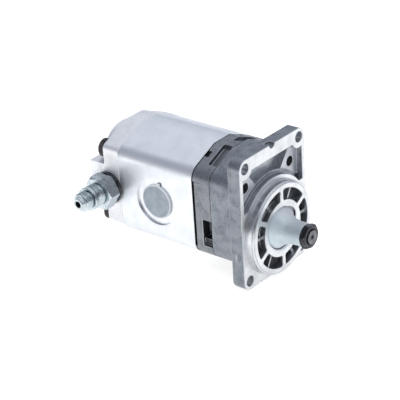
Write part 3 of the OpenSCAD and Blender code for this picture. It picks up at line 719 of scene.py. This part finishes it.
def adapter_piece():
    """Hexagon adapter with a threaded neck and a plain end inside the cover."""
    hex_out = COVER_SIDE_X - 15.5 * MM
    hex_in = COVER_SIDE_X - 3 * MM
    neck = hex_out - 8 * MM
    inner_end = COVER_SIDE_X + 15.5 * MM
    corner = FITTING_AF / math.sqrt(3)
    flat = FITTING_AF / 2
    chamfer = (corner - flat + 0.4 * MM) * math.tan(CHAMFER_ANGLE)
    profile = [
        (neck, 5 * MM), (neck, 9.2 * MM), (neck + 0.6 * MM, 9.8 * MM),
        (hex_out - 1.2 * MM, 9.8 * MM), (hex_out - 1.0 * MM, 9.0 * MM), (hex_out, 9.0 * MM),
        (hex_out, flat - 0.4 * MM), (hex_out + chamfer, corner),
        (hex_in - chamfer, corner), (hex_in, flat - 0.4 * MM),
        (hex_in, 10.1 * MM), (inner_end, 10.1 * MM), (inner_end, 5 * MM),
    ]
    points = with_steps(profile, neck, hex_in, FINE_STEP)
    cut = thread_shape(neck + 0.4 * MM, hex_out - 1.1 * MM, 1.5 * MM, 0.75 * MM, 9.1 * MM)

    def shape(along, angle, radius):
        if along < hex_out - 0.05 * MM:
            return cut(along, angle, radius)
        if radius > flat - 0.5 * MM and along <= hex_in:
            return min(radius, hex_radius(FITTING_AF, angle, 0.0))
        return radius

    bm = bmesh.new()
    turned(bm, points, along_x(VALVE_Y, VALVE_Z), 144, shape)
    return solid_from(bm, "fitting_adapter", "zinc_plate", 20)


def nipple_piece():
    """Cone-nosed hose nipple: bored through, threaded, with a collar."""
    neck = COVER_SIDE_X - 23.5 * MM
    collar = neck - 4.5 * MM
    thread = collar - 8 * MM
    tip = thread - 3.2 * MM
    inner = neck + 12 * MM
    profile = [
        (tip, 3.0 * MM), (tip, 4.5 * MM), (tip + 0.3 * MM, 4.9 * MM), (thread, 6.2 * MM),
        (thread, 7.3 * MM), (thread + 0.8 * MM, 8.2 * MM), (collar - 1.3 * MM, 8.2 * MM),
        (collar - 1.0 * MM, 7.0 * MM), (collar, 7.0 * MM), (collar, 9.9 * MM),
        (collar + 0.4 * MM, 10.3 * MM), (neck - 1.4 * MM, 10.3 * MM), (neck - 1.0 * MM, 9.9 * MM),
        (neck - 1.0 * MM, 7.2 * MM), (neck, 7.2 * MM), (neck, 5 * MM), (inner, 5 * MM),
        (inner, 3.0 * MM),
    ]
    points = with_steps(profile, thread, collar, FINE_STEP)
    cut = thread_shape(thread + 0.5 * MM, collar - 1.2 * MM, 1.5 * MM, 0.8 * MM, 7.2 * MM)
    bm = bmesh.new()
    turned(bm, points, along_x(VALVE_Y, VALVE_Z), 96, cut)
    return solid_from(bm, "hose_nipple", "zinc_plate", 25)


finish_piece(adapter_piece(), "housing", ["return_adapter"])
finish_piece(nipple_piece(), "housing", ["return_nipple"])

# ---------------------------------------------------------------- bolts and cap


def bolts_piece():
    """Four socket-head bolts with knurled heads, hexagon sockets and threaded ends."""
    head_end = COVER_END_Y + BOLT_HEAD_L
    socket_end = head_end - 5 * MM
    socket = BOLT_SOCKET_AF / 2
    tip = BOLT_TIP_Y
    profile = [
        (socket_end, 0.4 * MM), (socket_end, socket), (head_end - 0.3 * MM, socket),
        (head_end, socket + 0.4 * MM), (head_end, BOLT_HEAD_R - 0.9 * MM),
        (head_end - 0.9 * MM, BOLT_HEAD_R), (COVER_END_Y + 0.5 * MM, BOLT_HEAD_R),
        (COVER_END_Y, BOLT_HEAD_R - 0.3 * MM), (COVER_END_Y, BOLT_R),
        (BOLT_THREAD_END_Y, BOLT_R), (tip + 0.8 * MM, BOLT_R), (tip, 4.3 * MM), (tip, 0.4 * MM),
    ]
    points = with_steps(profile, tip, BOLT_THREAD_END_Y, 0.2 * MM)
    points = with_steps(points, COVER_END_Y + 0.5 * MM, head_end, 0.5 * MM)
    cut = thread_shape(tip, BOLT_THREAD_END_Y, 1.5 * MM, 0.7 * MM, 4.6 * MM)

    def shape(along, angle, radius):
        if along > COVER_END_Y and abs(radius - socket) < 0.45 * MM:
            return radius / socket * hex_radius(BOLT_SOCKET_AF, angle, 0.0)
        if radius > BOLT_HEAD_R - 0.05 * MM and COVER_END_Y + 1 * MM < along < head_end - 1.4 * MM:
            return radius - 0.28 * MM * abs(math.sin(angle * 24))
        return cut(along, angle, radius)

    bm = bmesh.new()
    for x in (-BOLT_X, BOLT_X):
        for z in BOLT_Z:
            turned(bm, points, along_y(x, z), 144, shape)
    return solid_from(bm, "cover_bolts", "bolt_black", 25)


finish_piece(bolts_piece(), "housing", ["through_bolts"])


def cap_piece():
    """Transport cap in the inlet: a dished disc with a raised rim, and a hollow plug behind it."""
    face = CAP_FACE_X
    seat = face + 1.8 * MM
    plug_end = face + 12.85 * MM
    profile = [
        (face + 0.95 * MM, 0.3 * MM), (face + 0.8 * MM, 8 * MM), (face + 0.9 * MM, 12.4 * MM),
        (face + 0.35 * MM, 13.2 * MM), (face, 13.6 * MM), (face, 14.6 * MM), (face + 0.35 * MM, 15.0 * MM),
        (seat, 15.0 * MM), (seat, 12.1 * MM), (plug_end - 1 * MM, 12.1 * MM), (plug_end, 11.6 * MM),
        (plug_end, 10.5 * MM), (seat + 0.1 * MM, 10.5 * MM), (seat + 0.1 * MM, 0.3 * MM),
    ]
    bm = bmesh.new()
    turned(bm, profile, along_x(PORT_Y, PORT_Z), 96)
    return solid_from(bm, "port_cap_shell", "cap_plastic", 45)


def cap_tab():
    """Finger tab at the cap's top, narrower at its outer end."""
    low = Vector((CAP_FACE_X, PORT_Y - 5 * MM, PORT_Z + 14 * MM))
    high = Vector((CAP_FACE_X + 1.2 * MM, PORT_Y, PORT_Z + 17.2 * MM))
    middle = (low + high) / 2
    bm = bmesh.new()
    bmesh.ops.create_cube(bm, size=1.0)
    for vert in bm.verts:
        vert.co = middle + Vector(c * s for c, s in zip(vert.co, high - low))
        if vert.co.z > middle.z:
            vert.co.y += (middle.y - vert.co.y) * 0.25
    piece = object_from(bm, "port_cap_tab", ["cap_plastic"])
    for polygon in piece.data.polygons:
        polygon.use_smooth = True
    bevel = piece.modifiers.new("rounding", "BEVEL")
    bevel.width = 0.4 * MM
    bevel.segments = 3
    return piece


finish_piece(cap_piece(), "port_cap", ["inlet_cap"])
finish_piece(cap_tab(), "port_cap")

# ---------------------------------------------------------------- inner parts keep their CAD shapes

CAD_FINISHES = {
    "steel_bright": [
        "drive_gear", "driven_gear", "seal_garter_spring", "bearing_outer_rings", "bearing_inner_rings",
        "bearing_balls", "dowel_pins", "relief_seat", "relief_poppet",
    ],
    "steel_dull": [
        "seal_retaining_ring", "outer_spacer", "inner_spacer", "housing_retaining_ring",
        "shaft_retaining_ring", "coupling_sleeve", "relief_spring", "relief_adjuster",
    ],
    "steel_black": ["passage_plug"],
    "washer_steel": ["adapter_seal"],
    "bushing_alu": ["front_bushing_block", "rear_bushing_block"],
    "bronze": ["journal_liners"],
    "brass": ["bearing_cages"],
    "rubber_black": ["front_body_seal", "rear_body_seal", "front_pressure_seal", "rear_pressure_seal"],
    "rubber_brown": ["shaft_seal"],
}

for finish, parts in CAD_FINISHES.items():
    for part in parts:
        mesh = nodes[part].data
        mesh.materials.clear()
        mesh.materials.append(MAT[finish])

# ---------------------------------------------------------------- stage and light


def make_floor():
    """A pale floor under the flange's lower edge and the rear cover's lower face."""
    slope = (COVER_LOW_Z - FLANGE_LOW_Z) / (COVER_END_Y - FLANGE_BACK_Y)
    level = FLANGE_LOW_Z - 0.05 * MM
    half = 4.0
    bm = bmesh.new()
    corners = []
    for x, y in ((-half, -half), (half, -half), (half, half), (-half, half)):
        corners.append(bm.verts.new((x, y, level + slope * (y - FLANGE_BACK_Y))))
    bm.faces.new(corners)
    mesh = bpy.data.meshes.new("floor")
    bm.to_mesh(mesh)
    bm.free()
    floor = bpy.data.objects.new("floor", mesh)
    bpy.context.scene.collection.objects.link(floor)
    paper = Shader("floor_paper", roughness=0.9, emission_strength=0.86)
    paper.surface.inputs["Emission Color"].default_value = (1.0, 1.0, 1.0, 1.0)
    paper.surface.inputs["Specular IOR Level"].default_value = 0.1
    paper.colour(paper.mix(paper.noise(0.4, 2.0), (0.25, 0.252, 0.254), (0.27, 0.27, 0.27)))
    mesh.materials.append(paper.material)


def make_light():
    """A soft box above, and a sky that is darker low down at the left and behind the camera."""
    data = bpy.data.lights.new("soft_box", "AREA")
    data.shape = "SQUARE"
    data.size = 2.6
    data.energy = 62
    box = bpy.data.objects.new("soft_box", data)
    box.location = (0.1, -0.1, 1.5)
    box.visible_glossy = False
    bpy.context.scene.collection.objects.link(box)

    world = bpy.data.worlds.new("sky")
    bpy.context.scene.world = world
    world.use_nodes = True
    sky = Nodes(world.node_tree, "Generated")

    def toward(x, y, z, low, high):
        """0 to 1 as a direction comes nearer to (x, y, z), between two cosines."""
        return sky.spread(sky.vector("DOT_PRODUCT", Vector((x, y, z)).normalized()), low, high)

    horizon, zenith = (0.55, 0.59, 0.67), (0.78, 0.82, 0.90)
    rear_grey, front_dark, lamp_white = (0.33, 0.355, 0.42), (0.10, 0.085, 0.088), (1.5, 1.5, 1.5)
    colour = sky.mix(toward(0, 0, 1, 0.1, 0.7), horizon, zenith)
    colour = sky.mix(toward(-0.79, 0.61, 0.25, 0.45, 0.85), colour, rear_grey)
    colour = sky.mix(toward(-0.72, -0.66, 0.05, 0.74, 0.94), colour, front_dark)
    colour = sky.mix(toward(0.3, -0.2, 1, 0.9, 0.98), colour, lamp_white)
    background = sky.tree.nodes["Background"]
    sky.tree.links.new(colour, background.inputs["Color"])
    background.inputs["Strength"].default_value = 1.0


make_floor()
make_light()
bpy.context.scene.view_settings.view_transform = "Standard"
